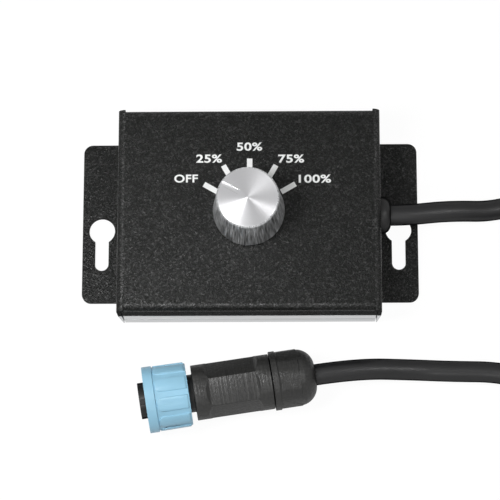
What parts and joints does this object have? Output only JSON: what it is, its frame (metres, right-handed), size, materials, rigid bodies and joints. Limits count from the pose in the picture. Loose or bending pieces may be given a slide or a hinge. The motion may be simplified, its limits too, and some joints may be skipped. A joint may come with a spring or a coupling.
{
  "type": "led dimmer box",
  "caption": "Shallow black metal dimmer box with keyhole ears, a stepped rotary knob marked from off to full, and a lead with a round screw-coupled connector.",
  "frame": {"origin": "centre of the back of the box, on the surface that it lies on or is fixed to", "axes": "+X along the face towards the cord's exit, +Y up the face towards the half-way mark, +Z out of the face along the knob's shaft"},
  "size_m": [0.2257, 0.0979, 0.037],
  "materials": {
    "black_powder_coat": "fine-textured black powder coat",
    "bare_sheet": "bare mill-finish sheet",
    "zinc_plate": "zinc-plated steel",
    "screw_steel": "plated countersunk screws",
    "bushing_metal": "nickel-plated die casting",
    "switch_moulding": "moulded thermoset",
    "contact_base": "phenolic laminate",
    "tinned_pins": "tinned brass",
    "rotor_moulding": "natural acetal",
    "ball_steel": "polished steel",
    "spring_steel": "spring steel",
    "wiper_bronze": "phosphor bronze",
    "shaft_steel": "turned steel",
    "washer_steel": "nickel-plated steel",
    "nut_steel": "nickel-plated steel",
    "spun_aluminium": "spun face and fine-brushed side",
    "hub_moulding": "moulded nylon",
    "board_laminate": "glass-fibre board with green mask",
    "chip_ceramic": "chip resistors",
    "block_moulding": "moulded polyamide",
    "relief_nylon": "moulded black nylon",
    "relief_nut_nylon": "moulded black nylon",
    "cord_jacket_inner": "satin black jacket",
    "wire_insulation": "coloured wire insulation",
    "blue_moulding": "light blue moulding",
    "connector_nylon": "moulded black nylon",
    "insert_moulding": "moulded black insert",
    "contact_brass": "gold-flashed brass",
    "connector_wire_insulation": "wire insulation",
    "seal_rubber": "silicone rubber",
    "gland_nylon": "moulded black nylon",
    "gland_rubber": "soft rubber sleeve",
    "cage_nylon": "moulded nylon fingers",
    "cord_jacket_end": "satin black jacket",
    "cord_jacket": "satin black jacket"
  },
  "bodies": {
    "root": {"cover": "black_powder_coat", "base_tray": "bare_sheet", "cover_standoffs": "zinc_plate", "tray_screws": "screw_steel", "switch_bushing": "bushing_metal", "switch_housing": "switch_moulding", "switch_base": "contact_base", "switch_terminals": "tinned_pins", "bushing_washer": "washer_steel", "bushing_nut": "nut_steel", "circuit_board": "board_laminate", "resistors": "chip_ceramic", "terminal_block": "block_moulding", "strain_relief": "relief_nylon", "strain_relief_nut": "relief_nut_nylon", "inner_cord": "cord_jacket_inner", "inner_wires": "wire_insulation", "connector_body": "connector_nylon", "contact_insert": "insert_moulding", "contact_sockets": "contact_brass", "connector_wires": "connector_wire_insulation", "seal_ring": "seal_rubber", "gland_nut": "gland_nylon", "gland_seal": "gland_rubber", "clamping_cage": "cage_nylon", "connector_cord_end": "cord_jacket_end", "cord_from_box": "cord_jacket", "cord_coil": "cord_jacket", "cord_to_connector": "cord_jacket"},
    "knob": {"knob": "spun_aluminium", "knob_hub": "hub_moulding", "switch_shaft": "shaft_steel", "switch_rotor": "rotor_moulding", "switch_wiper": "wiper_bronze", "detent_ball": "ball_steel", "detent_spring": "spring_steel"},
    "coupling_nut": {"coupling_nut": "blue_moulding"}
  },
  "joints": [
    {"name": "knob_turn", "type": "hinge", "parent": "root", "child": "knob", "pos_m": [0, -0.0007, 0.02], "axis": [0, 0, -1], "range_deg": [0, 120]},
    {"name": "coupling_nut_turn", "type": "hinge", "parent": "root", "child": "coupling_nut", "pos_m": [-0.03122, -0.05684, 0.01008], "axis": [0.988, 0.1519, -0.0281], "continuous": true}
  ]
}
